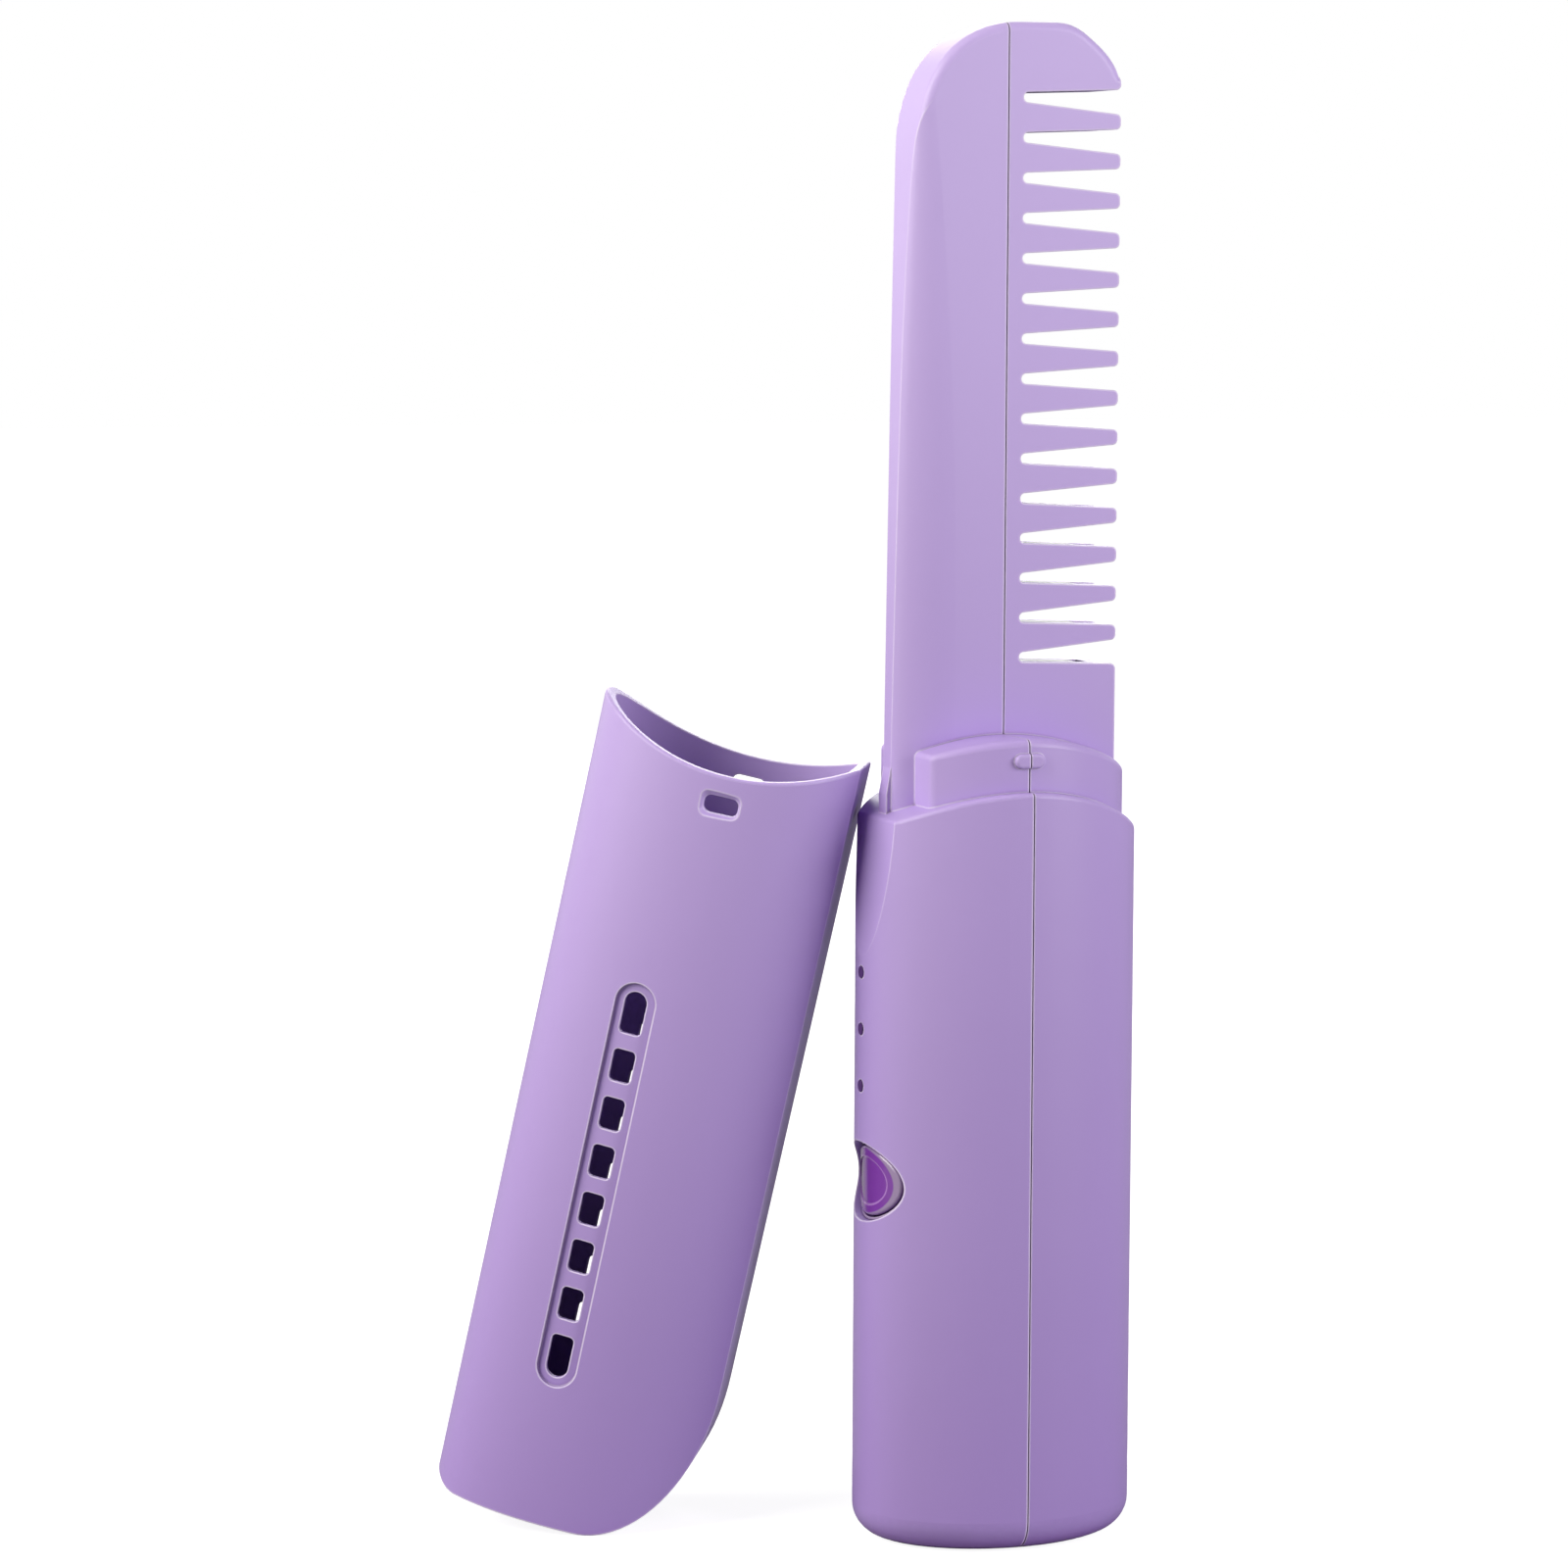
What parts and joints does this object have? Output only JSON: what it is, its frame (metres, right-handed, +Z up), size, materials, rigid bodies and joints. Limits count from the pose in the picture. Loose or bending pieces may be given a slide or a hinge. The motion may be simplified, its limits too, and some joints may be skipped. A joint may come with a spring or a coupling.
{
  "type": "hot comb",
  "caption": "Cordless hot comb with an oval handle, guarded comb head, push button on the back and a vented cap standing beside it.",
  "frame": {"origin": "middle of the handle's flat base", "axes": "+Z up along the handle, +X from the comb's spine to its teeth, Y across its thickness"},
  "size_m": [0.0771, 0.048, 0.178],
  "materials": {
    "lavender_plastic": "satin lavender ABS",
    "violet_plastic": "deep violet, slightly glossy",
    "mauve_ring": "grey mauve satin",
    "black_anodised": "black anodised, satin",
    "white_ceramic": "fired alumina, matt",
    "mica": "mica sheet, dull sheen",
    "black_nylon": "glass-filled nylon, matt",
    "plated_steel": "bright zinc",
    "nickel": "bright nickel",
    "glass_bead": "amber coated bead",
    "red_wire": "silicone wire insulation",
    "white_wire": "silicone wire insulation",
    "battery_wrap": "shrink sleeve over a metal can",
    "grey_foam": "closed-cell foam",
    "green_board": "solder mask",
    "black_chip": "moulded epoxy",
    "dark_ferrite": "ferrite, matt",
    "led_body": "diffuse lens",
    "clear_acrylic": "clear, frosted",
    "switch_stem": "natural nylon"
  },
  "bodies": {
    "handle": {"back_shell": "lavender_plastic", "front_shell": "lavender_plastic", "heater_comb": "black_anodised", "ceramic_heater": "white_ceramic", "insulation_sheets": "mica", "heater_carrier": "black_nylon", "thermal_fuse": "plated_steel", "thermistor": "glass_bead", "heater_leads": "red_wire", "sensor_leads": "white_wire", "battery_cell": "battery_wrap", "battery_tabs": "nickel", "battery_pads": "grey_foam", "battery_leads": "red_wire", "main_board": "green_board", "board_screws": "plated_steel", "control_chip": "black_chip", "charger_chip": "black_chip", "heater_transistor": "black_chip", "power_inductor": "dark_ferrite", "usb_socket": "nickel", "indicator_leds": "led_body", "light_guide": "clear_acrylic", "button_ring": "mauve_ring", "switch_body": "black_nylon"},
    "button": {"power_button": "violet_plastic"},
    "plunger": {"switch_plunger": "switch_stem"},
    "cap": {"cap": "lavender_plastic"}
  },
  "joints": [
    {"name": "button_press", "type": "slide", "parent": "handle", "child": "button", "axis": [1, 0, 0], "range_m": [0, 0.0003], "stiffness_N_per_m": 400, "springref_m": -0.0005},
    {"name": "plunger_press", "type": "slide", "parent": "handle", "child": "plunger", "axis": [1, 0, 0], "range_m": [0, 0.0003]},
    {"name": "cap_lift", "type": "slide", "parent": "handle", "child": "cap", "axis": [0, 0, 1], "range_m": [0, 0.12]}
  ],
  "couplings": [
    {"joint": "plunger_press", "follows": "button_press", "ratio": 1}
  ]
}
